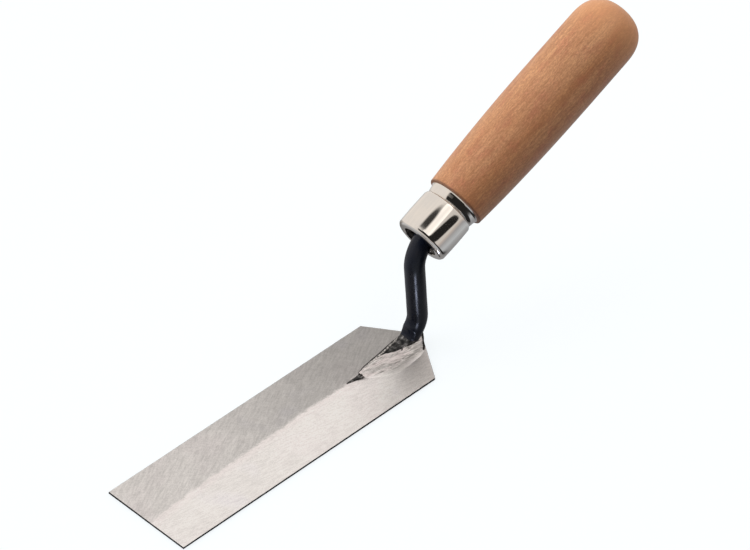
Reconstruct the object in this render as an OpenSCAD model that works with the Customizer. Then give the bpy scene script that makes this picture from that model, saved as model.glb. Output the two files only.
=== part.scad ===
// Margin trowel: a ground steel blade, a forged shank welded along its ridge, a plated ferrule and a
// turned wooden handle. Millimetres. Z = 0 is the blade's flat underside, the origin is the middle of the
// blade between its tip and its heel corners, the tip points to -X, and the handle rises towards +X.

/* [Blade] */
// Length of the blade's straight sides, from tip to heel corners
blade_len = 127; // [120:1:160]
// Width of the blade
blade_w = 38; // [34:1:50]
// How far the pointed heel stands behind the heel corners
heel_point = 12.5; // [12:0.5:14]
// Thickness of the blade along its edges
edge_t = 0.9; // [0.8:0.1:1.1]
// Extra thickness of the blade at the heel end of its ridge
ridge_rise = 1.1; // [0.9:0.1:1.2]

/* [Shank] */
// Diameter of the round rod
rod_d = 7.7; // [7.4:0.1:8]
// Lean of the upright towards the tip, in degrees from vertical
lean = 7.5; // [5:0.5:10]
// Height from the foot's axis to the corner point of the upper bend
shank_rise = 44; // [38:1:60]
// Centreline radius of the bend above the foot
lower_bend_r = 9; // [8.5:0.5:9.5]
// Centreline radius of the bend in the ferrule's mouth
upper_bend_r = 14; // [12:0.5:15]
// Length of the foot, from the heel point to its toe
foot_len = 39; // [37:1:42]
// Depth to which the tang reaches, measured from the ferrule's front
tang_reach = 72; // [50:1:85]

/* [Ferrule] */
// Outer diameter of the ferrule's body
ferrule_d = 21; // [20:0.5:22.5]
// Length of the ferrule
ferrule_len = 19.6; // [18.6:0.2:24]
// Wall thickness of the ferrule
ferrule_wall = 0.75; // [0.6:0.05:0.9]
// Diameter of the hole that the shank passes through
mouth_d = 14.4; // [13.6:0.2:15]
// Radius of the rolled front lip
lip_r = 1.6; // [1.2:0.1:1.8]
// Diameter at the bottom of the groove behind the shoulder
neck_d = 19.9; // [19:0.1:20]

/* [Handle] */
// Angle between the handle's axis and the blade
handle_angle = 26; // [20:1:32]
// Length of wood behind the ferrule
wood_len = 94.4; // [85:0.2:120]
// Diameter of the wood just behind the ferrule
wood_front_d = 23.1; // [22.6:0.1:24]
// Largest diameter of the wood
wood_butt_d = 26.8; // [25:0.1:30]

/* [Hidden] */
$fn = 96;

// Blade
tip_x = -blade_len / 2;
corner_x = blade_len / 2;
apex_x = corner_x + heel_point;
half_w = blade_w / 2;
ridge_steps = 10;
overlap = 2;

// Shank: corner_low and corner_up are where its straight stretches would cross if the bends were sharp
rod_r = rod_d / 2;
foot_axis_z = 4.2;
heel_setback = 1.8;
corner_low = [apex_x - heel_setback, 0, foot_axis_z];
corner_up = corner_low + shank_rise * [-tan(lean), 0, 1];
low_turn = 90 + lean;
up_turn = 90 + lean - handle_angle;
low_tangent = lower_bend_r * tan(low_turn / 2);
up_tangent = upper_bend_r * tan(up_turn / 2);
low_centre = corner_low + [-low_tangent, 0, lower_bend_r];
upright_len = shank_rise / cos(lean) - low_tangent - up_tangent;
bend_start = -45;
draw_down = 0.02;
lap = 0.5;

// Foot: the rod is forged out into a root and then a tongue that tapers to the toe
toe_x = apex_x - foot_len;
tongue_x = apex_x - 13.5;
seat_x = apex_x - 6;
root_top = 4.1;
root_gap = 0.1;
root_turn = 3;
seat_half = 3;
tongue_half = 2.4;
tongue_lap = 3;
tongue_top = root_top - 0.1;
tongue_mid = 3.1;
toe_top = 2.6;
toe_half = 0.3;
slope_len = 6.5;
low_z = 0.45;
slice_t = 0.1;

// Welds: each corner is [distance ahead of the heel point, Y, height above the blade's top face]
weld_split = 4;
grain = 0.2;
right_end = weld_split + grain / 2;
heel_end = weld_split - grain / 2;
weld_right_corners = [
    [right_end, -2.6, 3.15],
    [20, 0.2, 1.8],
    [30.5, 1, 1.3],
    [32.7, -2.4, 0.2],
    [20.5, -8.8, 0],
    [9, -8, 0],
    [right_end, -5.4, 0.3]
];
weld_heel_corners = [
    [0.8, -0.2, 3.6],
    [1.6, -1.4, 4.3],
    [1.6, 1.3, 4.1],
    [heel_end, -5.2, 0.5],
    [heel_end, 4.8, 0.5],
    [heel_end, -3, 3],
    [heel_end, 3, 2.4]
];
bead_r = 1.1;
bead_front = [apex_x - 30.5, 1.7, 2];
bead_rear = [apex_x - weld_split - 0.6, 3.4, 2.7];

// Ferrule and handle: h runs along the handle's axis from the ferrule's front face
mouth_offset = 3.55;
ferrule_r = ferrule_d / 2;
neck_r = neck_d / 2;
rim_flare = 0.6;
shoulder_r = 1.7;
shoulder_arc = 60;
neck_len = 3.4;
shoulder_h = ferrule_len - neck_len;
arc_steps = 6;
tang_from = up_tangent - mouth_offset;
tang_taper_h = tang_from + 5;
tang_tip_r = 1.7;
tenon_h = 3;
tenon_mouth_r = 4.9;
wood_round = 0.8;
wood_front_r = wood_front_d / 2;
wood_r = wood_butt_d / 2;
wood_end_h = ferrule_len + wood_len;
swell_len = 58;
swell_power = 2.2;
swell_steps = 16;
dome_len = 14;
dome_power = 2.6;
dome_steps = 14;
cut = 1;

// Height of the ridge at distance u from the tip, and of the blade's top face at x and y
function ridge_z(u) = edge_t + ridge_rise * min(1, u / blade_len);
function blade_z(x, y) = edge_t + (ridge_z(x - tip_x) - edge_t) * (1 - abs(y) / half_w);

// Points on a part of a circle in the [radius, h] plane
function arc(centre, r, from, to) =
    [for (i = [0 : arc_steps]) let (a = from + (to - from) * i / arc_steps) centre + r * [cos(a), sin(a)]];

// One skin of the ferrule's wall, at depth w under its outside, from the mouth to the rear rim
function ferrule_skin(w) = concat(
    [[mouth_d / 2, w]],
    arc([ferrule_r - lip_r, lip_r], lip_r - w, -90, 0),
    arc([ferrule_r - shoulder_r, shoulder_h - shoulder_r], shoulder_r - w, 0, shoulder_arc),
    [[neck_r - w, shoulder_h + w * 0.4], [neck_r + rim_flare - w, ferrule_len]]);

// Radius of the wood: a swell over h, then a dome over w, the fraction of its length
function swell_r(h) =
    let (thin = max(0, 1 - (h - ferrule_len) / swell_len))
    wood_r - (wood_r - wood_front_r) * pow(thin, swell_power);
function dome_r(w) = wood_r * pow(1 - pow(w, dome_power), 1 / dome_power);

function reversed(list) = [for (i = [len(list) - 1 : -1 : 0]) list[i]];

module on_handle_axis() {
    translate(corner_up)
        rotate([0, 90 - handle_angle, 0])
            translate([0, 0, mouth_offset])
                children();
}

module blade_outline() {
    polygon([
        [tip_x, -half_w],
        [corner_x, -half_w],
        [apex_x, 0],
        [corner_x, half_w],
        [tip_x, half_w]
    ]);
}

// Everything under the blade's roof-shaped top, wider and longer than the blade
module roof() {
    x0 = tip_x - overlap;
    step = (apex_x + overlap - x0) / ridge_steps;
    eave_y = half_w + overlap;
    rings = [for (i = [0 : ridge_steps]) let (x = x0 + step * i, u = max(0, x - tip_x))
        let (top = ridge_z(u), eave = edge_t - (top - edge_t) * overlap / half_w)
        [[x, -eave_y, -overlap], [x, -eave_y, eave], [x, 0, top], [x, eave_y, eave], [x, eave_y, -overlap]]];
    sides = len(rings[0]);
    points = [for (ring = rings) each ring];
    walls = [for (i = [0 : ridge_steps - 1], k = [0 : sides - 1])
        let (a = i * sides + k, b = i * sides + (k + 1) % sides)
        each [[a, b, a + sides], [b, b + sides, a + sides]]];
    front = [for (k = [sides - 1 : -1 : 0]) k];
    back = [for (k = [0 : sides - 1]) ridge_steps * sides + k];
    polyhedron(points, concat([front], walls, [back]));
}

module blade_solid() {
    intersection() {
        linear_extrude(edge_t + ridge_rise + overlap)
            blade_outline();
        roof();
    }
}

module bend(centre, radius, from, turn) {
    translate(centre)
        rotate([90, 0, 0])
            rotate([0, 0, from])
                rotate_extrude(angle = turn)
                    translate([radius, 0])
                        circle(r = rod_r);
}

module lower_bend() {
    bend(low_centre, lower_bend_r, bend_start, lean - bend_start);
}

// The straight stretches are drawn down a hair and lap into the bends' ends
module upright() {
    translate(corner_low)
        rotate([0, -lean, 0])
            translate([0, 0, low_tangent - lap])
                cylinder(h = upright_len + 2 * lap, r = rod_r - draw_down);
}

module upper_bend() {
    bend_foot = corner_up - up_tangent * [-sin(lean), 0, cos(lean)];
    centre = bend_foot + upper_bend_r * [cos(lean), 0, sin(lean)];
    bend(centre, upper_bend_r, 90 + handle_angle, up_turn);
}

module tang() {
    on_handle_axis()
        rotate_extrude()
            polygon([
                [0, tang_from - lap],
                [rod_r - draw_down, tang_from - lap],
                [rod_r - draw_down, tang_taper_h],
                [tang_tip_r, tang_reach],
                [0, tang_reach]
            ]);
}

// The rod runs out from its round section into the flat tongue
module foot_root() {
    slice_at = bend_start + root_turn;
    hull() {
        translate(low_centre + lower_bend_r * [cos(slice_at), 0, sin(slice_at)])
            rotate([0, -slice_at, 0])
                cylinder(h = slice_t, r = rod_r - root_gap, $fn = 32);
        translate([tongue_x, -tongue_half, low_z])
            cube([slice_t, 2 * tongue_half, root_top - low_z]);
        translate([seat_x - slice_t, -seat_half, low_z])
            cube([slice_t, 2 * seat_half, root_top / 2 - low_z]);
    }
}

module tongue() {
    rear_x = tongue_x + tongue_lap;
    rear_half = tongue_half - root_gap;
    intersection() {
        translate([0, 0, low_z])
            linear_extrude(root_top)
                polygon([
                    [toe_x, -toe_half],
                    [rear_x, -rear_half],
                    [rear_x, rear_half],
                    [toe_x, toe_half]
                ]);
        rotate([90, 0, 0])
            linear_extrude(blade_w, center = true)
                polygon([
                    [toe_x - cut, 0],
                    [rear_x + cut, 0],
                    [rear_x + cut, tongue_top],
                    [tongue_x - lap, tongue_top],
                    [tongue_x - slope_len, tongue_mid],
                    [toe_x + slope_len, toe_top],
                    [toe_x - cut, low_z + edge_t + ridge_rise / 2]
                ]);
    }
}

module foot() {
    lower_bend();
    foot_root();
    tongue();
}

// A lump of weld: the hull of its top corners and of the same corners sunk into the blade
module weld_lump(corners) {
    hull()
        for (c = corners, z = [blade_z(apex_x - c[0], c[1]) + c[2], low_z])
            translate([apex_x - c[0], c[1], z])
                cube(grain, center = true);
}

module weld_bead() {
    run = bead_rear - bead_front;
    translate(bead_front)
        rotate([0, acos(run[2] / norm(run)), atan2(run[1], run[0])])
            cylinder(h = norm(run), r = bead_r);
}

module blade() {
    color([0.72, 0.71, 0.69])
        blade_solid();
}

module shank() {
    color([0.07, 0.075, 0.09])
        difference() {
            union() {
                foot();
                upright();
                upper_bend();
                tang();
            }
            blade_solid();
        }
}

module weld_right() {
    color([0.8, 0.76, 0.74])
        difference() {
            weld_lump(weld_right_corners);
            foot();
            blade_solid();
        }
}

module weld_left() {
    color([0.5, 0.48, 0.47])
        difference() {
            weld_bead();
            foot();
            weld_lump(weld_right_corners);
            blade_solid();
        }
}

module weld_heel() {
    color([0.42, 0.4, 0.39])
        difference() {
            weld_lump(weld_heel_corners);
            foot();
            blade_solid();
        }
}

module ferrule() {
    color([0.87, 0.86, 0.84])
        on_handle_axis()
            rotate_extrude()
                polygon(concat(ferrule_skin(0), reversed(ferrule_skin(ferrule_wall))));
}

// The hole in the wood: a wide mouth for the bend, then the tang's own cylinder and taper
module tang_hole() {
    translate([0, 0, tenon_h - cut])
        cylinder(h = tang_from - tenon_h + cut, r = tenon_mouth_r);
    translate([0, 0, tang_from - lap])
        cylinder(h = tang_taper_h - tang_from + lap, r = rod_r);
    translate([0, 0, tang_taper_h])
        cylinder(h = tang_reach - tang_taper_h, r1 = rod_r, r2 = tang_tip_r);
}

module handle() {
    inner = [for (p = ferrule_skin(ferrule_wall)) if (p[1] > tenon_h) p];
    swell_from = ferrule_len + wood_round;
    swell_to = wood_end_h - dome_len;
    front_edge = arc([swell_r(swell_from) - wood_round, swell_from], wood_round, -90, 0);
    body = [for (i = [1 : swell_steps]) let (h = swell_from + (swell_to - swell_from) * i / swell_steps)
        [swell_r(h), h]];
    dome = [for (i = [1 : dome_steps]) let (w = sin(90 * i / dome_steps))
        [dome_r(w), swell_to + dome_len * w]];
    color([0.74, 0.53, 0.38])
        on_handle_axis()
            difference() {
                rotate_extrude()
                    polygon(concat(
                        [[0, tenon_h], [ferrule_r - ferrule_wall, tenon_h]],
                        inner,
                        front_edge,
                        body,
                        dome));
                tang_hole();
            }
}

blade();
shank();
weld_right();
weld_left();
weld_heel();
ferrule();
handle();
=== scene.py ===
# Margin trowel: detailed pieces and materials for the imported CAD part, at its size and in its place.
# Shapes are worked out in millimetres in the part's own frame, and scaled to metres as each mesh is made.
import math

import bpy
import numpy as np
from mathutils import Matrix, Vector, noise


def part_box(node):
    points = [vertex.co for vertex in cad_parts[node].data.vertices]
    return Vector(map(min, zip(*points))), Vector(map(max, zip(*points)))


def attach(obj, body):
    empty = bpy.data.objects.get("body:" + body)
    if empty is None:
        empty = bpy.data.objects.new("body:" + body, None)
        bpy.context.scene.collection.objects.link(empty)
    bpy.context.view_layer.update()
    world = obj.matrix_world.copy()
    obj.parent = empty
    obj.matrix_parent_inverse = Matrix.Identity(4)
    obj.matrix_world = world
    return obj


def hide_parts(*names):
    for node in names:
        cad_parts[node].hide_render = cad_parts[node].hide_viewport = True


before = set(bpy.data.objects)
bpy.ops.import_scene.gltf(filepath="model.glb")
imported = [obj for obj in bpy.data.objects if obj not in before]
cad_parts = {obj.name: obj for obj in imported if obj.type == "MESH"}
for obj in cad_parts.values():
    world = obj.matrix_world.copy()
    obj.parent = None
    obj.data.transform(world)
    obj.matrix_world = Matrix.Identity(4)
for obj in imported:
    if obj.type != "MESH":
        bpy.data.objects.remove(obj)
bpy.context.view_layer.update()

MM = 0.001

# ---------------------------------------------------------------- dimensions, in millimetres

blade_lo, blade_hi = (np.array(corner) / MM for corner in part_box("blade"))
TIP_X = blade_lo[0]
APEX_X = blade_hi[0]
HALF_W = blade_hi[1]
HEEL_POINT = 12.5
CORNER_X = APEX_X - HEEL_POINT
BLADE_LEN = CORNER_X - TIP_X
EDGE_T = 0.9
RIDGE_RISE = blade_hi[2] - EDGE_T

ROD_R = 3.85
LEAN = math.radians(7.5)
HANDLE_TILT = math.radians(26)
SHANK_RISE = 44
LOWER_BEND_R = 9
UPPER_BEND_R = 14
FOOT_AXIS_Z = 4.2
HEEL_SETBACK = 1.8
TANG_REACH = 72

FERRULE_R = 10.5
FERRULE_LEN = 19.6
FERRULE_WALL = 0.75
MOUTH_R = 7.2
MOUTH_OFFSET = 3.55
LIP_R = 1.6
SHOULDER_R = 1.7
NECK_LEN = 3.4
NECK_R = 9.72
RIM_R = 10.5

WOOD_LEN = 94.4
WOOD_FRONT_R = 11.55
WOOD_R = 13.4
SWELL_LEN = 58
SWELL_POWER = 2.2
DOME_LEN = 14
DOME_POWER = 2.6

X_AXIS = np.array([1.0, 0, 0])
Y_AXIS = np.array([0, 1.0, 0])
Z_AXIS = np.array([0, 0, 1.0])

# The sharp corners of the shank's path, and the handle's axis from the middle of the ferrule's mouth
CORNER_LOW = np.array([APEX_X - HEEL_SETBACK, 0, FOOT_AXIS_Z])
CORNER_UP = CORNER_LOW + SHANK_RISE * np.array([-math.tan(LEAN), 0, 1])
AXIS = np.array([math.cos(HANDLE_TILT), 0, math.sin(HANDLE_TILT)])
AXIS_UP = np.array([-math.sin(HANDLE_TILT), 0, math.cos(HANDLE_TILT)])
MOUTH = CORNER_UP + MOUTH_OFFSET * AXIS


# ---------------------------------------------------------------- small helpers

def smooth_step(low, high, x):
    t = np.clip((np.asarray(x, float) - low) / (high - low), 0, 1)
    return t * t * (3 - 2 * t)


def wobble(points, size, seed):
    """Smooth noise from -1 to 1 at each point, with bumps of about that size in millimetres."""
    shift = Vector((seed * 17.3, seed * 5.1, seed * 9.7))
    return np.array([noise.noise(Vector(p) / size + shift) for p in points])


def along_axis(points):
    """How far behind the ferrule's mouth each point is, along the handle's axis."""
    return (points - MOUTH) @ AXIS


def curve_through(stations, count):
    """A smooth curve through rows of numbers: count rows, evenly spaced from the first to the last."""
    rows = np.array(stations, float)
    padded = np.vstack([2 * rows[0] - rows[1], rows, 2 * rows[-1] - rows[-2]])
    result = []
    for place in np.linspace(0, len(rows) - 1, count):
        k = min(int(place), len(rows) - 2)
        t = place - k
        a, b, c, d = padded[k : k + 4]
        result.append(0.5 * (2 * b + (c - a) * t + (2 * a - 5 * b + 4 * c - d) * t**2
                             + (3 * (b - c) + d - a) * t**3))
    return np.array(result)


def tube_faces(rings, sides, closed=False):
    """Quads between rings of points. A closed tube joins its last ring to its first."""
    faces = []
    for i in range(rings if closed else rings - 1):
        for k in range(sides):
            a, b = i * sides + k, i * sides + (k + 1) % sides
            step = sides if i < rings - 1 else sides - rings * sides
            faces.append((a, b, b + step, a + step))
    return faces


def tube_with_caps(rings):
    """Points and faces of a closed solid through rings, with a point in the middle of each end."""
    rings = np.array(rings)
    count, sides = rings.shape[:2]
    points = np.vstack([rings.reshape(-1, 3), rings[0].mean(0), rings[-1].mean(0)])
    faces = tube_faces(count, sides)
    last = (count - 1) * sides
    for k in range(sides):
        faces.append((count * sides, (k + 1) % sides, k))
        faces.append((count * sides + 1, last + k, last + (k + 1) % sides))
    return points, faces


def normals_of(points, faces):
    """A unit normal for each point, the mean of its faces' normals."""
    total = np.zeros_like(points)
    for face in faces:
        p = points[list(face)]
        n = np.cross(p[1] - p[0], p[2] - p[0])
        if len(face) == 4:
            n = n + np.cross(p[2] - p[0], p[3] - p[0])
        total[list(face)] += n
    return total / np.maximum(np.linalg.norm(total, axis=1), 1e-9)[:, None]


def add_piece(name, node, points, faces, materials, face_material=None, values=None, sharp=None):
    """Makes a piece from points in millimetres, which stands for a CAD node and rides with the object.
    values are numbers for each point, by name. Edges over sharp degrees stay sharp."""
    mesh = bpy.data.meshes.new(name)
    mesh.from_pydata((np.asarray(points) * MM).tolist(), [], faces)
    for material in materials:
        mesh.materials.append(material)
    if face_material is not None:
        mesh.polygons.foreach_set("material_index", np.asarray(face_material, np.int32))
    for key, data in (values or {}).items():
        layer = mesh.attributes.new(key, "FLOAT", "POINT")
        layer.data.foreach_set("value", np.asarray(data, np.float32))
    mesh.validate()
    mesh.shade_smooth()
    if sharp is not None:
        mesh.set_sharp_from_angle(angle=math.radians(sharp))
    piece = bpy.data.objects.new(name, mesh)
    bpy.context.scene.collection.objects.link(piece)
    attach(piece, "root")
    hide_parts(node)
    return piece


# ---------------------------------------------------------------- shader helpers

class NodeTree:
    """Short calls for the nodes that the materials and the room share."""

    def __init__(self, tree):
        self.tree = tree

    def node(self, kind, inputs=(), **settings):
        made = self.tree.nodes.new(kind)
        for key, value in settings.items():
            setattr(made, key, value)
        for key, value in dict(inputs).items():
            self.put(value, made.inputs[key])
        return made

    def put(self, value, socket):
        """Links an output to the socket, or sets the socket to a plain value."""
        if isinstance(value, bpy.types.NodeSocket):
            self.tree.links.new(value, socket)
        else:
            socket.default_value = value

    def math(self, operation, *values):
        made = self.node("ShaderNodeMath", operation=operation)
        for socket, value in zip(made.inputs, values):
            self.put(value, socket)
        return made.outputs[0]

    def times(self, first, second):
        return self.math("MULTIPLY", first, second)

    def swing(self, value, amount):
        """A number around 0.5 as one around 0, times amount."""
        return self.times(self.math("SUBTRACT", value, 0.5), amount)

    def between(self, fraction, first, second):
        """A number mixed from two."""
        return self.node("ShaderNodeMix", {"Factor": fraction, "A": first, "B": second}).outputs[0]

    def dot(self, vector, direction):
        made = self.node("ShaderNodeVectorMath", {0: vector, 1: tuple(direction)}, operation="DOT_PRODUCT")
        return made.outputs["Value"]

    def step(self, value, low, high, out_low=0.0, out_high=1.0):
        """A smooth step, from out_low where value is low to out_high where it is high."""
        made = self.node("ShaderNodeMapRange", interpolation_type="SMOOTHSTEP")
        for key, number in zip(("Value", "From Min", "From Max", "To Min", "To Max"),
                               (value, low, high, out_low, out_high)):
            self.put(number, made.inputs[key])
        return made.outputs["Result"]

    def value(self, name):
        """A number stored on the mesh."""
        return self.node("ShaderNodeAttribute", attribute_name=name).outputs["Fac"]

    def place(self, turn=(0, 0, 0), stretch=(1, 1, 1)):
        """The object's coordinates in metres, turned and then stretched."""
        source = self.node("ShaderNodeTexCoord").outputs["Object"]
        turned = self.node("ShaderNodeMapping", {"Vector": source, "Rotation": turn}, vector_type="POINT")
        scaled = self.node("ShaderNodeMapping", {"Vector": turned.outputs[0], "Scale": stretch})
        return scaled.outputs[0]

    def noise(self, where, scale, detail=3.0, rough=0.5, warp=0.0):
        made = self.node("ShaderNodeTexNoise", {"Vector": where, "Scale": scale, "Detail": detail,
                                                "Roughness": rough, "Distortion": warp})
        return made.outputs["Fac"]

    def ramp(self, value, *stops):
        """A colour ramp through (place, colour) stops."""
        made = self.node("ShaderNodeValToRGB", {"Fac": value})
        elements = made.color_ramp.elements
        while len(elements) < len(stops):
            elements.new(0.5)
        for element, (place, colour) in zip(elements, stops):
            element.position = place
            element.color = (*colour, 1)
        return made.outputs["Color"]

    def mix(self, fraction, first, second, blend="MIX"):
        made = self.node("ShaderNodeMix", data_type="RGBA", blend_type=blend)
        self.put(fraction, made.inputs[0])
        for socket, colour in zip((made.inputs[6], made.inputs[7]), (first, second)):
            self.put(colour if isinstance(colour, bpy.types.NodeSocket) else (*colour, 1), socket)
        return made.outputs[2]

    def grey(self, value):
        """A number as a grey colour."""
        made = self.node("ShaderNodeCombineColor", {"Red": value, "Green": value, "Blue": value})
        return made.outputs[0]

    def bump(self, height, distance, under=None):
        """Bump from a height from 0 to 1 that stands for distance, in millimetres."""
        made = self.node("ShaderNodeBump", {"Height": height, "Distance": distance * MM, "Strength": 1.0})
        if under is not None:
            self.put(under, made.inputs["Normal"])
        return made.outputs[0]


class Shader(NodeTree):
    """The node tree of a new material."""

    def __init__(self, name):
        self.material = bpy.data.materials.new(name)
        self.material.use_nodes = True
        super().__init__(self.material.node_tree)
        self.bsdf = self.tree.nodes["Principled BSDF"]

    def finish(self, **sockets):
        """Sets or links the BSDF's sockets by name, and gives the material."""
        for name, value in sockets.items():
            self.put(value, self.bsdf.inputs[name.replace("_", " ")])
        return self.material

    def choose_surface(self, fraction, first, second):
        """Makes a mix of two shaders the material's surface."""
        chosen = self.node("ShaderNodeMixShader", {0: fraction, 1: first.outputs[0], 2: second.outputs[0]})
        self.tree.links.new(chosen.outputs[0], self.tree.nodes["Material Output"].inputs["Surface"])


# ---------------------------------------------------------------- materials

# Turns that lay X along the handle, and along the scoring of the ground weld
ALONG_HANDLE = (0, HANDLE_TILT, 0)
SCORING_TURN = math.radians(11)


def ground_steel():
    """Belt-ground steel: a left facet scratched aslant and a right one brushed nearly lengthwise, with
    painted light that makes the right facet paler than the left and painted shade that darkens both towards
    the heel; and weld that is ground back, pinker and more coarsely scored, with dark scale and painted
    shade in crevices by its crest."""
    s = Shader("ground_steel")
    across = s.value("across")
    along = s.value("along")
    weld = s.value("weld")
    scale_and_painted_shade = s.value("scale_and_painted_shade")
    flat = s.place()
    edge_noise = s.noise(s.place(turn=(0, 0, math.radians(14)), stretch=(0.4, 1, 1)), 700, 5, 0.7)
    right = s.step(s.math("ADD", across, s.swing(edge_noise, -4.4)), 0.9, -0.9)

    grit = s.noise(flat, 1900, 3, 0.6)
    lengthwise = s.noise(s.place(turn=(0, 0, math.radians(9)), stretch=(0.2, 1, 1)), 1500, 5, 0.7)
    aslant = s.noise(s.place(turn=(0, 0, math.radians(-27)), stretch=(0.16, 1, 1)), 1300, 5, 0.7)
    crossed = s.noise(s.place(turn=(0, 0, math.radians(48)), stretch=(0.25, 1, 1)), 1100, 4, 0.65)
    patches = s.noise(flat, 55, 3, 0.55)
    tints = s.noise(flat, 38, 2, 0.5)

    left_grain = s.math("ADD", s.times(aslant, 0.5), s.times(crossed, 0.2))
    left_grain = s.math("ADD", left_grain, s.times(grit, 0.3))
    right_grain = s.math("ADD", s.times(lengthwise, 0.55), s.times(grit, 0.45))
    grain = s.between(right, left_grain, right_grain)

    # Painted light and shade: the right facet paler than the left, and both facets darker towards the heel
    left_painted_shade = s.step(along, 0.05, 1.1, 0.78, 0.45)
    right_painted_light = s.step(along, 0.84, 1.04, 0.96, 0.74)
    painted_light_and_grain = s.between(right, left_painted_shade, right_painted_light)
    spread = s.between(right, 0.36, 0.24)
    shade = s.times(s.step(grain, 0.34, 0.66, -0.55, 0.45), spread)
    painted_light_and_grain = s.times(painted_light_and_grain, s.math("ADD", shade, 1.0))
    painted_light_and_grain = s.times(painted_light_and_grain, s.step(patches, 0.3, 0.7, 0.96, 1.03))
    warm = s.mix(s.step(tints, 0.5, 0.68), (1.0, 0.985, 0.98), (1.0, 0.972, 0.975))
    warm = s.mix(s.step(tints, 0.44, 0.3), warm, (0.985, 0.97, 1.0))
    blush = s.times(right, s.step(across, -4.5, -0.8, 0.0, 0.55))
    warm = s.mix(blush, warm, (1.0, 0.94, 0.95))
    colour = s.mix(1.0, s.grey(painted_light_and_grain), warm, "MULTIPLY")

    scoring = s.noise(s.place(turn=(0, 0, SCORING_TURN), stretch=(0.12, 1, 1)), 2100, 5, 0.8)
    swathes = s.noise(s.place(turn=(0, 0, SCORING_TURN), stretch=(0.2, 1, 1)), 420, 3, 0.6)
    scored = s.ramp(scoring, (0.38, (0.16, 0.152, 0.148)), (0.46, (0.55, 0.53, 0.525)),
                    (0.55, (0.86, 0.83, 0.825)), (0.63, (1.0, 0.985, 0.985)))
    scored = s.mix(s.step(swathes, 0.52, 0.36, 0.0, 0.6), scored, (0.40, 0.395, 0.385))
    scored = s.mix(s.step(swathes, 0.50, 0.60, 0.0, 0.5), scored, (1.0, 0.92, 0.93))
    colour = s.mix(weld, colour, scored)
    ragged = s.noise(s.place(stretch=(0.5, 1, 1)), 700, 4, 0.7)
    # Dark scale and painted shade: at the weld's toe, in the crevice inside its crest, and on its rear
    # flank
    dark = s.step(s.math("ADD", scale_and_painted_shade, s.swing(ragged, 2.2)), 0.55, 0.75)
    colour = s.mix(dark, colour, (0.05, 0.045, 0.042))

    rough = s.math("ADD", s.between(right, 0.49, 0.46), s.swing(grain, 0.25))
    rough = s.math("ADD", rough, s.times(dark, 0.3))
    fine = s.bump(grain, 0.012)
    coarse = s.bump(s.times(weld, scoring), 0.14, under=fine)
    return s.finish(Base_Color=colour, Metallic=1.0, Roughness=rough, Normal=coarse)


def sheared_edge():
    """The blade's thin sides: dark and drawn lengthwise, with bright nicks."""
    s = Shader("sheared_edge")
    streaks = s.noise(s.place(stretch=(0.2, 0.2, 1)), 1400, 4, 0.6)
    colour = s.ramp(streaks, (0.35, (0.008, 0.008, 0.010)), (0.62, (0.028, 0.027, 0.030)),
                    (0.78, (0.13, 0.125, 0.125)))
    return s.finish(Base_Color=colour, Metallic=0.75, Roughness=s.step(streaks, 0.3, 0.8, 0.5, 0.7),
                    Specular_IOR_Level=0.2, Normal=s.bump(streaks, 0.02))


def weld_scale():
    """Weld as it was laid: dark scale over grey steel, bright in spots where the wheel has touched its
    crest, and along the left weld's crest a painted highlight.
    """
    s = Shader("weld_scale")
    ground = s.value("ground")
    flat = s.place()
    crust = s.noise(flat, 650, 5, 0.65)
    spots = s.noise(flat, 1700, 3, 0.6)
    colour = s.ramp(crust, (0.36, (0.008, 0.008, 0.009)), (0.5, (0.035, 0.033, 0.032)),
                    (0.70, (0.20, 0.185, 0.175)))
    # Ground spots, and along the left weld's crest a painted highlight
    ground_spots_and_highlight = s.times(ground, s.step(spots, 0.36, 0.58))
    colour = s.mix(ground_spots_and_highlight, colour, (0.85, 0.82, 0.79))
    rough = s.math("SUBTRACT", s.step(crust, 0.3, 0.7, 0.72, 0.5), s.times(ground_spots_and_highlight, 0.2))
    return s.finish(Base_Color=colour, Metallic=0.8, Roughness=rough,
                    Normal=s.bump(spots, 0.10, under=s.bump(crust, 0.25)))


def black_enamel():
    """Glossy black on the rod, burnt back to grey-black scale over the forged foot."""
    s = Shader("black_enamel")
    burnt = s.value("burnt")
    flat = s.place()
    crust = s.noise(flat, 520, 5, 0.65)
    peel = s.noise(flat, 260, 3, 0.5)
    dust = s.noise(flat, 2400, 3, 0.6)
    ragged = s.step(s.math("ADD", burnt, s.swing(crust, 0.7)), 0.42, 0.62)
    enamel = s.mix(s.step(dust, 0.62, 0.75), (0.0050, 0.0074, 0.0160), (0.02, 0.022, 0.030))
    scale = s.ramp(crust, (0.38, (0.012, 0.012, 0.013)), (0.52, (0.060, 0.058, 0.056)),
                    (0.62, (0.20, 0.19, 0.185)), (0.70, (0.48, 0.46, 0.45)))
    rough = s.between(ragged, s.step(peel, 0.3, 0.7, 0.22, 0.34), s.step(crust, 0.3, 0.7, 0.7, 0.45))
    height = s.between(ragged, s.times(peel, 0.25), crust)
    return s.finish(Base_Color=s.mix(ragged, enamel, scale), Metallic=s.times(ragged, 0.5), Roughness=rough,
                    Specular_IOR_Level=0.28, Normal=s.bump(height, 0.16))


def nickel_plate():
    """Bright plating on drawn steel, faintly warm, with the ghost of draw lines along it."""
    s = Shader("nickel_plate")
    lines = s.noise(s.place(turn=ALONG_HANDLE, stretch=(0.06, 1, 1)), 1600, 4, 0.6)
    haze = s.noise(s.place(), 130, 3, 0.5)
    colour = s.mix(s.step(haze, 0.35, 0.7), (0.90, 0.85, 0.79), (0.85, 0.815, 0.775))
    colour = s.mix(s.step(lines, 0.58, 0.40, 0.0, 0.13), colour, (0.66, 0.64, 0.63))
    rough = s.math("ADD", s.step(haze, 0.35, 0.75, 0.03, 0.07), s.times(lines, 0.02))
    return s.finish(Base_Color=colour, Metallic=1.0, Roughness=rough, Normal=s.bump(lines, 0.0035))


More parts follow.
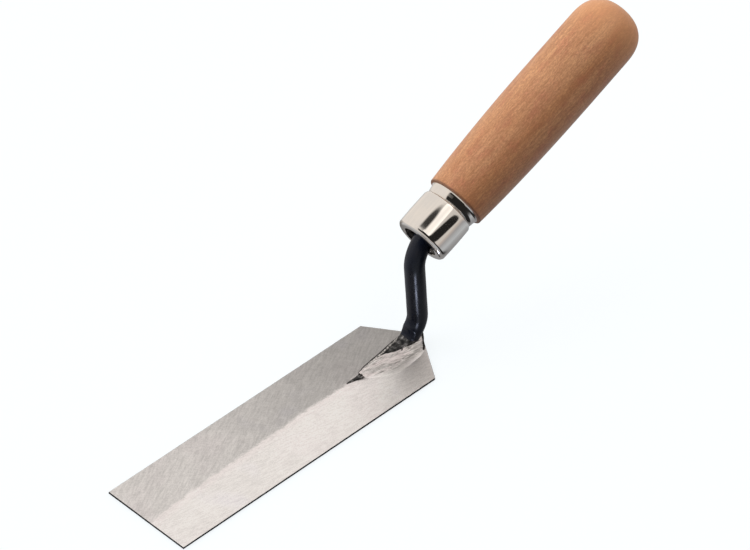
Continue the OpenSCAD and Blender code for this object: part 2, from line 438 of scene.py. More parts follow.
def turned_wood():
    """Lacquered hardwood: soft bands and fine fibres along the handle, with short dark pores. It is paler
    and more orange at the butt, partly its end grain and partly a painted highlight, dark in a line at the
    ferrule, and a dark grey of painted shade where it sits inside the ferrule."""
    s = Shader("turned_wood")

    def streaks(stretch, *noise_settings):
        return s.noise(s.place(turn=ALONG_HANDLE, stretch=(stretch, 1, 1)), *noise_settings)

    bands = streaks(0.18, 125, 3, 0.5, 0.5)
    mottle = streaks(0.5, 260, 4, 0.65)
    fibres = streaks(0.10, 1050, 4, 0.7)
    grit = streaks(0.45, 2250, 3, 0.7)
    pores = streaks(0.25, 1900, 2, 0.5)
    colour = s.ramp(bands, (0.30, (0.50, 0.205, 0.088)), (0.46, (0.61, 0.268, 0.120)),
                    (0.58, (0.67, 0.325, 0.155)), (0.70, (0.75, 0.385, 0.187)))
    colour = s.mix(s.step(mottle, 0.42, 0.64, 0.0, 0.5), colour, (0.71, 0.362, 0.165))
    colour = s.mix(s.step(mottle, 0.48, 0.33, 0.0, 0.6), colour, (0.60, 0.215, 0.112))
    colour = s.mix(s.step(fibres, 0.38, 0.60, 0.46, 0.0), colour, (0.38, 0.15, 0.067))
    colour = s.mix(s.step(grit, 0.38, 0.58, 0.55, 0.0), colour, (0.38, 0.155, 0.072))
    colour = s.mix(s.step(grit, 0.54, 0.72, 0.0, 0.18), colour, (0.90, 0.50, 0.28))
    dark = s.times(s.step(pores, 0.60, 0.70), 0.25)
    colour = s.mix(dark, colour, (0.25, 0.09, 0.036))
    # End-grain tint and painted highlight: paler and more orange towards the butt
    colour = s.mix(s.times(s.value("butt_tint_and_highlight"), 0.55), colour, (0.86, 0.405, 0.185))
    colour = s.mix(s.times(s.value("rim"), 0.65), colour, (0.11, 0.045, 0.025))
    # Painted shade in the ferrule's mouth: the wood there is dark grey
    mouth_shade_colour = s.ramp(mottle, (0.35, (0.02, 0.018, 0.017)), (0.65, (0.12, 0.11, 0.105)))
    colour = s.mix(s.value("ferrule_mouth_shade"), colour, mouth_shade_colour)
    rough = s.math("ADD", s.step(fibres, 0.3, 0.7, 0.46, 0.38), s.times(dark, 0.3))
    height = s.math("SUBTRACT", s.times(fibres, 0.5), dark)
    return s.finish(Base_Color=colour, Roughness=rough, Specular_IOR_Level=0.38, Coat_Weight=0.15,
                    Coat_Roughness=0.35, Normal=s.bump(height, 0.03))


# ---------------------------------------------------------------- blade

# Where the ridge runs: (distance from the tip, Y), hand-ground and so not quite straight
RIDGE_LINE = [(0, -2.6), (6, -1.8), (13, -1.1), (28, -0.6), (60, 0.1), (84, 0.6), (94, 0.0), (140, 0.0)]


def ridge_y(x):
    line = np.array(RIDGE_LINE)
    u = np.asarray(x, float) - TIP_X
    spread = 6.0
    return sum(np.interp(u + d, line[:, 0], line[:, 1]) for d in (-spread, 0, spread)) / 3


def blade_top(x, y):
    """Height of the blade's ground top: two facets that meet in a soft ridge."""
    soft = 1.2
    middle = ridge_y(x)
    off = np.asarray(y, float) - middle
    reach = HALF_W - np.sign(off) * middle
    down = (np.sqrt(off**2 + soft**2) - soft) / reach
    rise = RIDGE_RISE * np.clip((np.asarray(x, float) - TIP_X) / BLADE_LEN, 0, 1)
    return EDGE_T + rise * np.clip(1 - down, 0, 1)


def blade_plan(s, v, inset):
    """X and Y at s from 0 to 1, tip to heel, and v from -1 to 1 across, inside the outline by inset.
    Rows are straight at the tip and bend into the heel's point."""
    heel_inset = 1.2 * inset
    x = TIP_X + inset + s * (BLADE_LEN - inset - heel_inset) + HEEL_POINT * (1 - np.abs(v)) * s**5
    return x, v * (HALF_W - inset)


# Small nicks in the ground face: (X, Y, length, width, depth, turn in degrees)
NICKS = [
    (45.8, -6.4, 1.7, 0.42, 0.16, -8),
    (-31.5, -13.0, 1.5, 0.35, 0.12, 62),
    (-8, 7.5, 2.6, 0.25, 0.05, 24),
    (52, 8.2, 1.3, 0.3, 0.07, 30),
]


def nick_depth(x, y):
    depth = np.zeros_like(x)
    for cx, cy, length, width, deep, turn in NICKS:
        c, s = math.cos(math.radians(turn)), math.sin(math.radians(turn))
        u = ((x - cx) * c + (y - cy) * s) / (length / 2)
        w = ((y - cy) * c - (x - cx) * s) / (width / 2)
        depth += deep * np.exp(-(u**2 + w**2))
    return depth


def build_blade(face, edge):
    rows, columns = 330, 110
    bevel = 0.09
    s, v = np.meshgrid(np.linspace(0, 1, rows + 1), np.linspace(-1, 1, columns + 1), indexing="ij")
    x, y = blade_plan(s, v, bevel)
    flat = np.column_stack([x.ravel(), y.ravel(), np.zeros(x.size)])
    waves = 0.035 * wobble(flat, 13, 1) + 0.012 * wobble(flat, 3.5, 2)
    top = flat.copy()
    top[:, 2] = blade_top(flat[:, 0], flat[:, 1]) + waves - nick_depth(flat[:, 0], flat[:, 1])
    count = len(flat)

    def index(i, j):
        return i * (columns + 1) + j

    border = ([(i, 0) for i in range(rows)] + [(rows, j) for j in range(columns)]
              + [(i, columns) for i in range(rows, 0, -1)] + [(0, j) for j in range(columns, 0, -1)])
    border_s = np.array([s[b] for b in border])
    border_v = np.array([v[b] for b in border])
    rim_x, rim_y = blade_plan(border_s, border_v, 0.0)
    rim = np.column_stack([rim_x, rim_y, np.zeros(len(border))])
    ragged = 0.03 * wobble(rim, 1.5, 3)
    drop = bevel * (1 + 0.5 * wobble(rim, 2.5, 4))
    top_at_rim = np.array([top[index(*b), 2] for b in border])
    rim_x = rim_x - np.abs(ragged) * np.sign(rim_x)
    rim_high = np.column_stack([rim_x, rim_y, top_at_rim - drop])
    rim_low = np.column_stack([rim_x, rim_y, drop])
    points = np.vstack([top, flat, rim_high, rim_low])

    faces = []
    kinds = []
    ground_kind, edge_kind = 0, 1
    for i in range(rows):
        for j in range(columns):
            a, b, c, d = index(i, j), index(i + 1, j), index(i + 1, j + 1), index(i, j + 1)
            faces.append((a, b, c, d))
            faces.append((a + count, d + count, c + count, b + count))
            kinds += [ground_kind] * 2
    around = len(border)
    for k in range(around):
        n = (k + 1) % around
        t0, t1 = index(*border[k]), index(*border[n])
        h0, h1 = 2 * count + k, 2 * count + n
        l0, l1 = h0 + around, h1 + around
        faces += [(t1, t0, h0, h1), (h1, h0, l0, l1), (l1, l0, t0 + count, t1 + count)]
        kinds += [edge_kind] * 3
    across = points[:, 1] - ridge_y(points[:, 0])
    # The underside is one face, in the left facet's colour with its painted shade
    underside = slice(count, 2 * count)
    across[underside] = -HALF_W / 2
    along = (points[:, 0] - TIP_X) / BLADE_LEN
    return add_piece("trowel_blade", "blade", points, faces, [face, edge], kinds,
                     {"across": across, "along": along}, sharp=40)


# ---------------------------------------------------------------- shank

def ring(centre, tangent, up, down, half, power=2.0, shift=0.0, sides=72):
    """A rounded section across the path: it reaches up and down by those amounts and half to each side."""
    turn = np.linspace(0, 2 * math.pi, sides, endpoint=False)
    normal = np.array([-tangent[2], 0, tangent[0]])
    c, s = np.cos(turn), np.sin(turn)
    side = np.sign(c) * np.abs(c) ** (2 / power) * half + shift
    rise = (up - down) / 2 + np.sign(s) * np.abs(s) ** (2 / power) * (up + down) / 2
    return centre + np.outer(side, Y_AXIS) + np.outer(rise, normal)


# The tongue, from its toe: (distance ahead of the heel point, top, half width, shift in Y, squareness)
TONGUE = [
    (38.9, 1.98, 0.12, 0.10, 2.2),
    (36.5, 2.12, 0.55, -0.15, 2.6),
    (34.0, 2.22, 0.98, -0.55, 3.0),
    (31.6, 2.34, 1.40, -0.95, 3.2),
    (28.0, 2.55, 1.70, -0.60, 3.4),
    (22.0, 2.85, 2.10, -0.30, 3.6),
    (18.0, 3.15, 2.35, -0.20, 3.6),
    (15.0, 3.55, 2.60, -0.10, 3.4),
    (12.2, 4.20, 2.90, 0.00, 3.0),
]


def shank_rings():
    """Sections from the toe of the foot, through both bends, to the tang's tip."""
    low_turn = math.pi / 2 + LEAN
    up_turn = low_turn - HANDLE_TILT
    low_tangent = LOWER_BEND_R * math.tan(low_turn / 2)
    up_tangent = UPPER_BEND_R * math.tan(up_turn / 2)
    sunk = 0.12
    rings = []
    for ahead, top, half, shift, power in curve_through(TONGUE, 60):
        x = APEX_X - ahead
        bed = float(blade_top(x, shift)) - sunk
        rings.append(ring(np.array([x, 0, bed]), X_AXIS, top - bed, 0, half, power, shift))

    centre = CORNER_LOW + np.array([-low_tangent, 0, LOWER_BEND_R])
    _, foot_top, foot_half, _, foot_power = TONGUE[-1]
    round_power = 2.0
    for angle in np.radians(np.linspace(-88, math.degrees(LEAN), 46)):
        out = np.array([math.cos(angle), 0, math.sin(angle)])
        grown = float(smooth_step(math.radians(-90), math.radians(-38), angle))
        inner_flat = (centre[2] - foot_top) / max(-math.sin(angle), 0.35) if angle < 0 else 0
        inner = (1 - grown) * inner_flat + grown * (LOWER_BEND_R - ROD_R)
        outer = LOWER_BEND_R + ROD_R
        if angle < 0:
            outer = min(outer, (centre[2] - EDGE_T - RIDGE_RISE + sunk) / -math.sin(angle))
        half = foot_half + (ROD_R - foot_half) * grown
        power = foot_power + (round_power - foot_power) * grown
        tangent = np.array([-math.sin(angle), 0, math.cos(angle)])
        at = centre + LOWER_BEND_R * out
        rings.append(ring(at, tangent, LOWER_BEND_R - inner, outer - LOWER_BEND_R, half, power))

    up_dir = np.array([-math.sin(LEAN), 0, math.cos(LEAN)])
    start = CORNER_LOW + low_tangent * up_dir
    end = CORNER_UP - up_tangent * up_dir
    for t in np.linspace(0, 1, 26)[1:-1]:
        rings.append(ring(start + (end - start) * t, up_dir, ROD_R, ROD_R, ROD_R))

    centre = end + UPPER_BEND_R * np.array([math.cos(LEAN), 0, math.sin(LEAN)])
    for angle in np.linspace(math.pi + LEAN, math.pi / 2 + HANDLE_TILT, 34):
        out = np.array([math.cos(angle), 0, math.sin(angle)])
        tangent = np.array([math.sin(angle), 0, -math.cos(angle)])
        rings.append(ring(centre + UPPER_BEND_R * out, tangent, ROD_R, ROD_R, ROD_R))

    straight_from = up_tangent - MOUTH_OFFSET
    taper_from = straight_from + 5
    tip_r = 1.7
    for h in np.linspace(straight_from, TANG_REACH, 30)[1:]:
        r = np.interp(h, [taper_from, TANG_REACH], [ROD_R, tip_r])
        rings.append(ring(MOUTH + h * AXIS, AXIS, r, r, r))
    return rings


def build_shank(material):
    points, faces = tube_with_caps(shank_rings())
    normals = normals_of(points, faces)
    x, z = points[:, 0], points[:, 2]
    forged = smooth_step(9, 5, z) * smooth_step(APEX_X, APEX_X - 7, x)
    bed = blade_top(x, points[:, 1]) - 0.05
    hammered = 0.16 * wobble(points, 1.6, 6) + 0.07 * wobble(points, 0.6, 7)
    push = 0.03 * wobble(points, 6, 5) + forged * hammered
    # The rod stays true where it is held: in the ferrule and the wood, and where the foot lies on the blade
    in_mouth = np.linalg.norm(points - MOUTH, axis=1) < FERRULE_R
    push[in_mouth | (along_axis(points) > 0)] = 0
    push[(z < bed + 0.1) & (x < APEX_X - 4)] = 0
    points = points + normals * push[:, None]
    burnt = smooth_step(8.0, 5.8, z + 0.35 * (x - (APEX_X - 12))) * smooth_step(APEX_X + 1, APEX_X - 4, x)
    return add_piece("trowel_shank", "shank", points, faces, [material],
                     values={"burnt": burnt}, sharp=60)


# ---------------------------------------------------------------- welds

def loft_weld(stations, columns, rows):
    """A lump of weld through stations of (X, then Y and Z of points across it), sunk into the blade. Gives
    its points, faces and normals, and for each point its place across the lump, from 0 to 1, and its height
    above the blade."""
    sunk_z = 1.2
    flat_rows = [[station[0]] + [c for point in station[1:] for c in point] for station in stations]
    smooth = curve_through(flat_rows, rows)
    rings, places = [], []
    for row in smooth:
        x, section = row[0], row[1:].reshape(-1, 2)
        top = curve_through(section, columns)
        low = [[top[-1, 0], sunk_z], [(top[-1, 0] + top[0, 0]) / 2, sunk_z], [top[0, 0], sunk_z]]
        section = np.vstack([top, low])
        rings.append(np.column_stack([np.full(len(section), x), section]))
        places.append(np.concatenate([np.linspace(0, 1, columns), [1, 0.5, 0]]))
    points, faces = tube_with_caps(rings)
    above = points[:, 2] - blade_top(points[:, 0], points[:, 1])
    return points, faces, normals_of(points, faces), np.append(np.ravel(places), [0.5, 0.5]), above


def roughened(points, normals, above, push):
    """The lump's points moved along their normals by push, except where it is sunk into the blade."""
    return points + normals * np.where(above > -0.02, push, 0)[:, None]


def on_blade(x, y, lift=-0.04):
    return (y, float(blade_top(x, y)) + lift)


def right_weld_stations():
    """From the toe to the heel: outer edge on the blade, flank, crest, and inner edge on the foot."""
    rows = [
        # ahead of the heel point, outer Y, flank lift, crest (Y, Z), inner (Y, Z)
        (32.6, -2.5, 0.30, (-1.5, 2.55), (0.45, 2.35)),
        (31.4, -3.3, 0.25, (-1.0, 3.00), (0.75, 2.75)),
        (28.0, -5.0, 0.15, (-0.5, 3.10), (1.15, 2.85)),
        (24.0, -7.4, 0.10, (0.0, 3.30), (1.30, 3.00)),
        (20.5, -8.8, 0.00, (0.2, 3.55), (1.10, 3.20)),
        (18.2, -8.8, 0.00, (-0.5, 3.60), (0.30, 3.10)),
        (15.5, -8.6, 0.00, (-1.7, 3.70), (-1.1, 3.20)),
        (13.2, -8.4, 0.00, (-2.3, 3.65), (-1.8, 3.30)),
        (9.0, -7.9, 0.05, (-2.9, 4.30), (-2.5, 4.00)),
        (6.0, -7.0, 0.10, (-3.2, 4.90), (-2.8, 4.70)),
        (3.8, -5.5, 0.20, (-3.3, 5.30), (-2.9, 5.30)),
        (2.4, -3.5, 0.25, (-2.7, 5.60), (-2.3, 5.60)),
    ]
    stations = []
    for ahead, outer, lift, crest, inner in rows:
        x = APEX_X - ahead
        base = on_blade(x, outer)
        flank_y = outer + 0.5 * (crest[0] - outer)
        flank_z = base[1] + 0.5 * (crest[1] - base[1]) + lift
        stations.append((x, base, (flank_y, flank_z), crest, inner))
    return stations


def rear_flank(x, y, z):
    """1 on the welds' rear flank, along the blade's heel edge, where no wheel has touched them; there they
    get dark scale with painted shade.
    """
    square = np.array([HALF_W, -HEEL_POINT]) / math.hypot(HALF_W, HEEL_POINT)
    past = square[0] * (x - APEX_X) + square[1] * y
    return smooth_step(-2.1, -0.7, past) * smooth_step(1.3, 2.2, z)


def build_right_weld(material):
    points, faces, normals, place, above = loft_weld(right_weld_stations(), 56, 200)
    x, y, z = points.T
    body = smooth_step(0.0, 1.0, above)
    crest = smooth_step(0.60, 0.82, place) * body
    c, s = math.cos(SCORING_TURN), math.sin(SCORING_TURN)
    scored = np.column_stack([0.2 * (x * c - y * s), x * s + y * c, z])
    push = body * (0.09 * wobble(points * [0.45, 1, 1], 1.8, 8) + 0.05 * wobble(scored, 0.55, 9))
    push += crest * (0.30 * wobble(points * [0.7, 1, 1], 1.3, 10) - 0.10)
    points = roughened(points, normals, above, push)
    weld = smooth_step(0.02, 0.7, above)
    ahead = APEX_X - x
    # Painted shade with dark scale: the shadowed toe, the crevice along the crest's inner side, and the
    # rear flank
    toe = smooth_step(31.7, 32.4, ahead) * smooth_step(0.1, 0.6, above)
    edge = smooth_step(0.72, 0.92, place) * smooth_step(23, 19, ahead) * smooth_step(6, 9, ahead)
    scale_and_painted_shade = np.maximum(np.maximum(0.9 * toe, 0.85 * edge), rear_flank(x, y, z))
    values = {"across": y - 4, "along": (x - TIP_X) / BLADE_LEN, "weld": weld, "scale_and_painted_shade": scale_and_painted_shade}
    return add_piece("ground_weld", "weld_right", points, faces, [material],
                     values=values, sharp=60)


def left_weld_stations():
    rows = [
        # ahead of the heel point, inner (Y, Z), crest (Y, Z), outer Y
        (31.6, (0.2, 2.30), (0.75, 2.45), 1.5),
        (28.0, (0.9, 2.70), (1.35, 2.85), 2.5),
        (24.0, (1.0, 2.95), (1.60, 3.10), 3.1),
        (19.5, (1.2, 3.20), (1.75, 3.45), 3.6),
        (15.0, (1.8, 3.45), (2.35, 3.75), 4.2),
        (11.5, (2.2, 3.80), (2.75, 4.15), 4.7),
        (8.5, (2.5, 4.30), (3.15, 4.60), 5.0),
        (5.0, (2.9, 4.90), (3.45, 4.90), 5.2),
        (3.2, (2.7, 5.20), (3.10, 5.00), 4.2),
    ]
    stations = []
    for ahead, inner, crest, outer in rows:
        x = APEX_X - ahead
        base = on_blade(x, outer)
        foot = (crest[0] + 0.45 * (outer - crest[0]), base[1] + 0.42 * (crest[1] - base[1]))
        stations.append((x, base, foot, crest, inner))
    return stations


def build_left_weld(material):
    points, faces, normals, place, above = loft_weld(left_weld_stations(), 26, 140)
    body = smooth_step(0.0, 0.6, above)
    push = body * (0.12 * wobble(points, 1.4, 11) + 0.08 * wobble(points, 0.6, 12))
    points = roughened(points, normals, above, -push)
    # The bright line along the bead's crest: ground metal and a painted highlight
    ground = smooth_step(0.42, 0.55, place) * smooth_step(0.99, 0.88, place) * body
    return add_piece("left_weld", "weld_left", points, faces, [material],
                     values={"ground": ground}, sharp=60)


def heel_weld_stations():
    rows = [
        # ahead of the heel point, half width on the blade, shoulder (Y, Z), top Z
        (5.2, 5.0, 3.4, 3.6, 3.2),
        (4.0, 5.2, 3.5, 4.2, 5.0),
        (3.0, 4.4, 3.0, 5.0, 6.2),
        (2.0, 3.0, 2.4, 5.2, 6.4),
        (1.2, 1.8, 1.6, 4.8, 5.8),
        (0.6, 0.9, 0.9, 3.8, 4.6),
    ]
    stations = []
    for ahead, half, shoulder_y, shoulder_z, top in rows:
        x = APEX_X - ahead
        crown = [(-shoulder_y, shoulder_z), (0, top), (shoulder_y, shoulder_z)]
        stations.append((x, on_blade(x, -half), *crown, on_blade(x, half)))
    return stations


def build_heel_weld(material):
    points, faces, normals, place, above = loft_weld(heel_weld_stations(), 60, 44)
    x, y, z = points.T
    push = smooth_step(0.1, 0.8, above) * (0.16 * wobble(points, 1.5, 13) + 0.08 * wobble(points, 0.6, 14))
    points = roughened(points, normals, above, push)
    clear_of_point = 0.3
    points[:, 0] = np.minimum(points[:, 0], APEX_X - clear_of_point)
    ground = smooth_step(0.34, 0.14, place) * smooth_step(3.4, 4.6, z) * smooth_step(1.9, 2.9, APEX_X - x)
    ground = ground * (1 - rear_flank(x, y, z))
    return add_piece("heel_weld", "weld_heel", points, faces, [material],
                     values={"ground": ground}, sharp=60)


# ---------------------------------------------------------------- ferrule and handle

def turned(profile, sides, closed):
    """Points and faces of a profile of (radius, distance along the handle's axis), turned about that axis.
    An open profile starts and ends on the axis."""
    turn = np.linspace(0, 2 * math.pi, sides, endpoint=False)
    spokes = np.outer(np.cos(turn), AXIS_UP) + np.outer(np.sin(turn), Y_AXIS)
    rings = [MOUTH + h * AXIS + r * spokes for r, h in profile]
    if closed:
        return np.vstack(rings), tube_faces(len(rings), sides, closed=True)
    return tube_with_caps(rings)


def arc(centre, r, start, end, steps=10):
    """Points on an arc in the (radius, distance) plane, angles in degrees."""
    turn = np.radians(np.linspace(start, end, steps))
    return [(centre[0] + r * math.cos(a), centre[1] + r * math.sin(a)) for a in turn]


def ferrule_skin(depth):
    """One skin of the ferrule's wall, from the mouth to the rear rim, at that depth under its outside."""
    belly = 0.11
    shoulder_h = FERRULE_LEN - NECK_LEN
    front, rear = LIP_R, shoulder_h - SHOULDER_R
    body = []
    for t in np.linspace(0, 1, 14)[1:-1]:
        body.append((FERRULE_R - depth - belly * (2 * t - 1) ** 2, front + (rear - front) * t))
    skin = [(MOUTH_R, depth)]
    skin += arc((FERRULE_R - LIP_R - belly, LIP_R), LIP_R - depth, -90, 0, 14)
    skin += body
    skin += arc((FERRULE_R - SHOULDER_R - belly, rear), SHOULDER_R - depth, 0, 62, 12)
    skin += [
        (NECK_R - depth, shoulder_h + 0.15 + depth * 0.4),
        (NECK_R + 0.20 - depth, shoulder_h + 1.3),
        (NECK_R + 0.38 - depth, FERRULE_LEN - 1.1),
        (NECK_R + 0.45 - depth, FERRULE_LEN - 0.7),
        (RIM_R - 0.1 - depth, FERRULE_LEN - 0.35)
    ]
    return skin


def build_ferrule(material):
    inner = ferrule_skin(FERRULE_WALL)
    rim_inner = RIM_R - FERRULE_WALL + 0.1
    rim = [(RIM_R, FERRULE_LEN - 0.2), (RIM_R - 0.08, FERRULE_LEN), (rim_inner, FERRULE_LEN)]
    edge_r = MOUTH_R - 0.12
    mouth_edge = [(edge_r, FERRULE_WALL * 0.75), (edge_r, FERRULE_WALL * 0.25)]
    profile = ferrule_skin(0) + rim + inner[::-1] + mouth_edge
    points, faces = turned(profile, 256, closed=True)
    out = points - MOUTH
    out -= np.outer(out @ AXIS, AXIS)
    out /= np.maximum(np.linalg.norm(out, axis=1), 1e-6)[:, None]
    points = points + out * (0.02 * wobble(points, 9, 15))[:, None]
    return add_piece("plated_ferrule", "ferrule", points, faces, [material], sharp=50)


def swell_r(h):
    """Radius of the wood at h behind the ferrule's mouth."""
    thin = max(0.0, 1 - (h - FERRULE_LEN) / SWELL_LEN)
    return WOOD_R - (WOOD_R - WOOD_FRONT_R) * thin**SWELL_POWER


def build_handle(material):
    tenon_h = 3.0
    gap = 0.03
    edge_r = 0.35
    mouth_r = 4.9
    bore_from, bore_to = 6.0, 11.5
    end_h = FERRULE_LEN + WOOD_LEN
    swell_from, swell_to = FERRULE_LEN + edge_r, end_h - DOME_LEN
    hole = [(0.02, TANG_REACH), (1.75, TANG_REACH), (ROD_R + 0.02, bore_to), (ROD_R + 0.02, bore_from),
            (mouth_r, bore_from), (mouth_r, tenon_h + 0.3), (mouth_r + 0.3, tenon_h)]
    tenon = [(FERRULE_R - FERRULE_WALL - 0.6, tenon_h)]
    tenon += [(r - gap, h) for r, h in ferrule_skin(FERRULE_WALL) if h > tenon_h + 0.3]
    front = arc((swell_r(swell_from) - edge_r, swell_from), edge_r, -90, 0, 8)
    body = [(swell_r(h), h) for h in (swell_from + 0.5, *np.linspace(swell_from, swell_to, 70)[1:])]
    dome = []
    for t in np.linspace(0, math.pi / 2, 40)[1:]:
        w = min(math.sin(t), 0.99999)
        dome.append((WOOD_R * (1 - w**DOME_POWER) ** (1 / DOME_POWER), swell_to + DOME_LEN * w))
    points, faces = turned(hole + tenon + front + body + dome, 160, closed=False)
    normals = normals_of(points, faces)
    behind_ferrule = along_axis(points) > FERRULE_LEN + 0.1
    radius = np.linalg.norm(np.cross(points - MOUTH, AXIS), axis=1)
    hole_reach = 6
    skin = behind_ferrule & (radius > hole_reach) | (along_axis(points) > swell_to)
    push = 0.05 * wobble(points, 22, 16) + 0.012 * wobble(points, 4, 17)
    points = points + normals * np.where(skin, push - 0.03, 0)[:, None]
    h = along_axis(points)
    # The wood inside the ferrule, painted dark grey as shade
    ferrule_mouth_shade = h < FERRULE_LEN - 1
    # Towards the butt: end-grain tint and a painted highlight
    butt_tint_and_highlight = smooth_step(end_h - 24, end_h - 4, h)
    rim = smooth_step(swell_from + 0.45, swell_from + 0.1, h)
    return add_piece("wooden_handle", "handle", points, faces, [material],
                     values={"ferrule_mouth_shade": ferrule_mouth_shade, "butt_tint_and_highlight": butt_tint_and_highlight, "rim": rim}, sharp=50)


# ---------------------------------------------------------------- stage, light and camera

# The camera's axes and place in metres, fitted to the part, and its focal length in pixels
CAMERA_RIGHT = np.array([0.69933334, -0.71345444, 0.04376805])
CAMERA_UP = np.array([0.4566177, 0.4930114, 0.74056737])
CAMERA_BACK = np.cross(CAMERA_RIGHT, CAMERA_UP)
CAMERA_PLACE = (-1.03279, -0.97922, 1.36654)
FOCAL_PX = 5507.8
IMAGE_WIDTH_PX = 750


def plane(name, corners, material):
    """A flat piece of the stage through four corners, in millimetres."""
    mesh = bpy.data.meshes.new(name)
    mesh.from_pydata([tuple(c * MM for c in corner) for corner in corners], [], [(0, 1, 2, 3)])
    mesh.materials.append(material)
    made = bpy.data.objects.new(name, mesh)
    bpy.context.scene.collection.objects.link(made)
    return made


def floor_white():
    """Near white to the eye, with a trace of shadow. In reflections it is grey on the camera's side of the
    part, in rings round the ferrule's neck and dark just ahead of it, and paler on the far side."""
    s = Shader("floor_white")
    s.put((0.30, 0.305, 0.31, 1), s.bsdf.inputs["Base Color"])
    s.put(0.9, s.bsdf.inputs["Roughness"])
    s.put(0.0, s.bsdf.inputs["Specular IOR Level"])
    s.put((0.94, 0.985, 1.0, 1), s.bsdf.inputs["Emission Color"])
    s.put(0.75, s.bsdf.inputs["Emission Strength"])
    spot = s.place()
    from_neck = {0: spot, 1: tuple((MOUTH + (FERRULE_LEN - NECK_LEN / 2) * AXIS) * MM)}
    away = s.node("ShaderNodeVectorMath", from_neck, operation="DISTANCE").outputs["Value"]
    offset = s.node("ShaderNodeVectorMath", from_neck, operation="SUBTRACT").outputs[0]
    along = s.math("DIVIDE", s.dot(offset, AXIS), away)
    rings = s.ramp(s.math("DIVIDE", away, s.math("ADD", away, 0.15)),
                   (0.30, (0.27, 0.27, 0.28)), (0.42, (0.50, 0.53, 0.56)),
                   (0.62, (0.36, 0.36, 0.375)), (0.86, (0.56, 0.50, 0.46)))
    ahead = s.times(s.step(along, -0.55, -0.42), s.step(along, 0.0, -0.07))
    near_grey = s.mix(s.times(ahead, s.step(away, 0.062, 0.075)), rings, (0.02, 0.02, 0.02))
    paler = s.step(s.node("ShaderNodeSeparateXYZ", {"Vector": spot}).outputs["Y"], -0.02, 0.25)
    dim = s.node("ShaderNodeEmission", {"Color": s.mix(paler, near_grey, (0.86, 0.81, 0.76))})
    seen = s.node("ShaderNodeLightPath").outputs["Is Camera Ray"]
    s.choose_surface(seen, dim, s.bsdf)
    return s.material


def build_floor():
    reach = 6000
    floor_z = -0.2
    corners = [(x * reach, y * reach, floor_z) for x, y in ((-1, -1), (1, -1), (1, 1), (-1, 1))]
    plane("floor", corners, floor_white())


def build_card():
    """A bright card just above the blade, where the rod's front mirrors it to the camera. It is clear from
    below, and shows only in gloss."""
    s = Shader("card_white")
    glow = s.node("ShaderNodeEmission", {"Color": (0.70, 0.77, 1.0, 1), "Strength": 13.0})
    clear = s.node("ShaderNodeBsdfTransparent")
    below = s.node("ShaderNodeNewGeometry").outputs["Backfacing"]
    s.choose_surface(below, glow, clear)

    rod = np.array([-math.sin(LEAN), 0, math.cos(LEAN)])
    facing = CAMERA_BACK - (CAMERA_BACK @ rod) * rod
    facing /= np.linalg.norm(facing)
    mirrored = 2 * (CAMERA_BACK @ facing) * facing - CAMERA_BACK
    card_z = 4.6
    side = np.cross(mirrored, Z_AXIS)
    side /= np.linalg.norm(side)

    def seen_from(height):
        """Where the card's plane shows in the rod's front at that height."""
        start = CORNER_LOW + (height - FOOT_AXIS_Z) * rod / rod[2] + ROD_R * facing
        return start + mirrored * (start[2] - card_z) / -mirrored[2]

    # The heights on the rod between which the card shows
    near, far = seen_from(19), seen_from(38)
    near_half, far_half = 0.9 * side, 4.6 * side
    corners = [near - near_half, near + near_half, far + far_half, far - far_half]
    card = plane("card", corners, s.material)
    card.visible_camera = False
    card.visible_diffuse = False
    card.visible_shadow = False


def build_key():
    """Soft light from the part's far left, which gives the wood its bright side."""
    data = bpy.data.lights.new("key", "SUN")
    data.energy = 1.5
    data.color = (0.93, 1.0, 1.08)
    data.angle = math.radians(50)
    data.use_shadow = False
    key = bpy.data.objects.new("key", data)
    bpy.context.scene.collection.objects.link(key)
    key.visible_glossy = False
    toward = Vector((-0.61, 0.43, 0.66))
    key.rotation_mode = "QUATERNION"
    key.rotation_quaternion = toward.to_track_quat("Z", "Y")


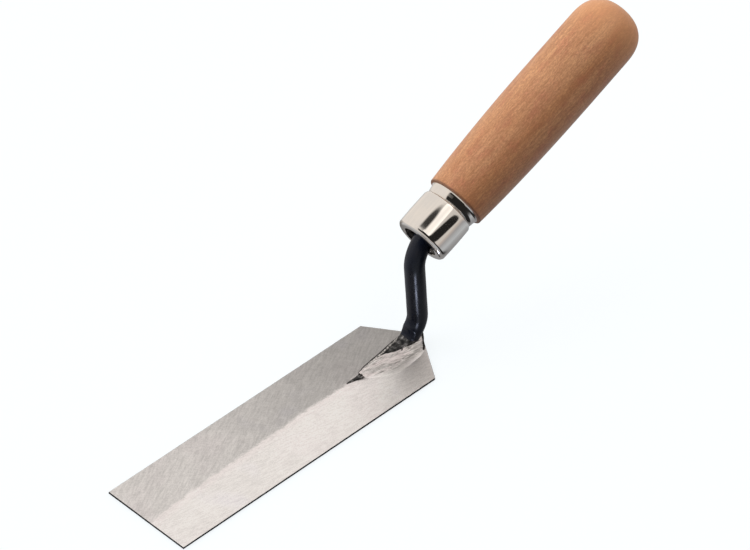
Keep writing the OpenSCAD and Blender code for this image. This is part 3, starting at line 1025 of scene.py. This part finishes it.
def build_world():
    """A plain pale room to the eye. In light and reflections it is bright on the part's left and far side
    and dim on the camera's side, with dark gaps that give the ferrule its bands."""
    world = bpy.data.worlds.new("studio")
    bpy.context.scene.world = world
    world.use_nodes = True
    s = NodeTree(world.node_tree)
    direction = s.node("ShaderNodeTexCoord").outputs["Generated"]
    facing = np.cross(np.cross(AXIS, CAMERA_BACK), AXIS)
    facing /= np.linalg.norm(facing)
    beside = np.cross(AXIS, facing)

    def part(*vector):
        """How much of the direction points along the vector."""
        return s.dot(direction, np.array(vector) / np.linalg.norm(vector))

    # A direction's lean from straight across the handle towards its butt, and its turn round the handle
    # from the side that faces the camera
    along = s.math("ARCSINE", part(*AXIS))
    around = s.math("ARCTAN2", part(*beside), part(*facing))

    def window(value, low, high, soft):
        """1 between two angles in degrees, with soft edges."""
        low, high, soft = (math.radians(angle) for angle in (low, high, soft))
        return s.times(s.step(value, low - soft, low + soft), s.step(value, high + soft, high - soft))

    def patch(middle, reach, flat_to, end, soft, skew=0.0):
        """1 in a rounded patch: middle and reach are angles round the axis. The patch ends at the angle end
        along the axis, and starts to close at flat_to. With skew it leans about the angle pivot."""
        pivot = 7.75
        shift = s.times(s.math("SUBTRACT", along, math.radians(pivot)), skew)
        middle = s.math("ADD", shift, math.radians(middle))
        off = s.math("DIVIDE", s.math("SUBTRACT", around, middle), math.radians(reach))
        past = s.math("SUBTRACT", along, math.radians(flat_to))
        past = s.math("MAXIMUM", s.math("DIVIDE", past, math.radians(end - flat_to)), 0.0)
        radius = s.math("SQRT", s.math("ADD", s.math("POWER", off, 2.0), s.math("POWER", past, 2.0)))
        return s.step(radius, 1 + soft, 1 - soft)

    # What the ferrule mirrors: its right band, the black at its lip and its neck, its left band, and the
    # bright strip between the bands
    band = s.times(patch(30, 17, 14.5, 16.6, 0.14, 1.9), window(along, -10, 30, 3))
    hood = s.times(window(around, -20, 47, 3), window(along, -40, 5, 1.5))
    brim = s.times(window(around, -42, 47, 4), window(along, -40, -5, 4))
    collar = s.times(window(around, -17, 100, 4), window(along, -30, -1, 1.2))
    gap = s.times(patch(-29, 14, 11.5, 15.2, 0.35), s.step(along, math.radians(7), math.radians(9.5)))
    strip = s.times(window(around, -20, 13, 3), window(along, 5, 75, 3))
    bright_side = s.step(part(0.3, 0.9, 0.3), -0.35, 0.4)
    low = s.step(part(0, 0, 1), 0.30, 0.0)
    rays = s.node("ShaderNodeLightPath").outputs
    sheen = s.times(rays["Is Glossy Ray"], s.step(part(0, 0, 1), 0.92, 0.70))

    light = s.math("ADD", 0.22, s.times(bright_side, 0.62))
    extra = s.math("MAXIMUM", s.times(low, 0.28), s.times(sheen, 0.42))
    light = s.math("ADD", light, s.times(s.math("SUBTRACT", 1.0, bright_side), extra))
    light = s.math("ADD", light, s.times(strip, 0.75))
    light = s.times(light, s.math("SUBTRACT", 1.0, s.times(gap, 0.93)))
    dark = s.math("MAXIMUM", s.math("MAXIMUM", band, hood), s.math("MAXIMUM", brim, collar))
    light = s.times(light, s.math("SUBTRACT", 1.0, s.times(dark, 0.97)))
    room = s.mix(1.0, s.grey(light), (1.0, 0.95, 0.90), "MULTIPLY")
    s.put(s.mix(rays["Is Camera Ray"], room, (0.95, 0.98, 1.0)), s.tree.nodes["Background"].inputs["Color"])


def build_camera():
    data = bpy.data.cameras.new("camera")
    data.sensor_width = 36.0
    data.lens = FOCAL_PX * data.sensor_width / IMAGE_WIDTH_PX
    data.clip_start = 0.1
    data.clip_end = 50
    camera = bpy.data.objects.new("camera", data)
    bpy.context.scene.collection.objects.link(camera)
    turn = Matrix(np.column_stack([CAMERA_RIGHT, CAMERA_UP, CAMERA_BACK]).tolist()).to_4x4()
    camera.matrix_world = Matrix.Translation(CAMERA_PLACE) @ turn
    bpy.context.scene.camera = camera


# ---------------------------------------------------------------- the scene

bpy.context.scene.view_settings.view_transform = "Standard"
build_camera()
build_world()
build_floor()
build_card()
build_key()

ground = ground_steel()
scale = weld_scale()
build_blade(ground, sheared_edge())
build_shank(black_enamel())
build_right_weld(ground)
build_left_weld(scale)
build_heel_weld(scale)
build_ferrule(nickel_plate())
build_handle(turned_wood())
